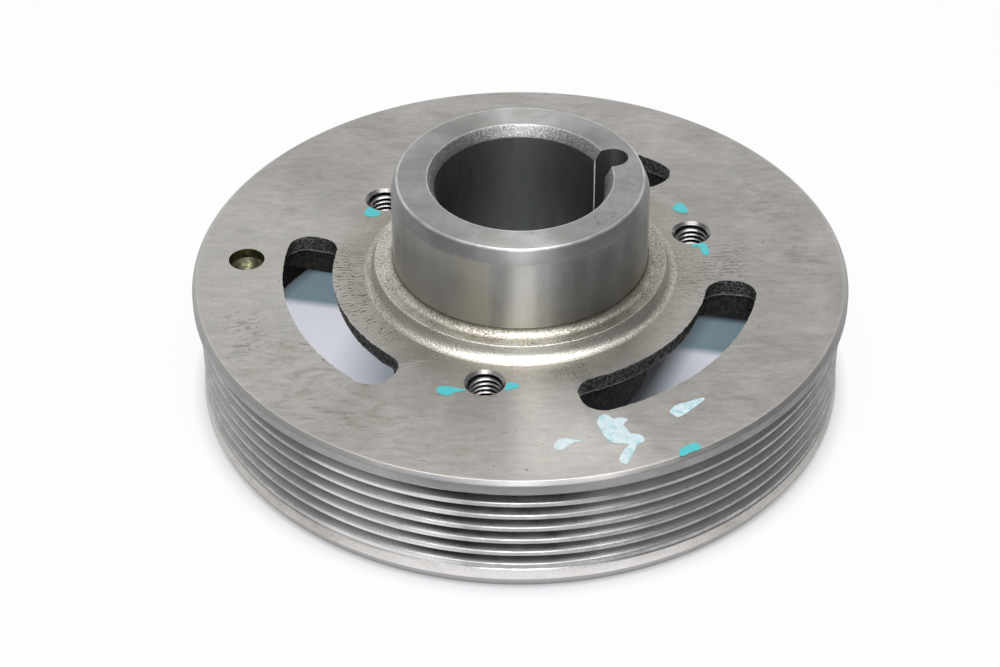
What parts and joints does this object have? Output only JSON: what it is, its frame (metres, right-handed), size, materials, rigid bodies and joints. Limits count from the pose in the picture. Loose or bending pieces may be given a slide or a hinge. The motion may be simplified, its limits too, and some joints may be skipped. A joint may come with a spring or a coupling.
{
  "type": "belt pulley",
  "caption": "Ribbed belt pulley turned from one iron casting: grooved rim, slotted web with tapped holes, and a long hub with a keyed bore.",
  "frame": {"origin": "middle of the rim's lower face, on the bore's axis, where the pulley stands", "axes": "+Z along the bore, from the open side of the rim towards the long hub; +X is 19.5 degrees clockwise of the keyway, seen from above"},
  "size_m": [0.155, 0.155, 0.0586],
  "materials": {
    "iron": "turned faces with a dull grey sheen, rough black casting skin in the slots and underneath"
  },
  "bodies": {
    "root": {"pulley": "iron"}
  },
  "joints": []
}
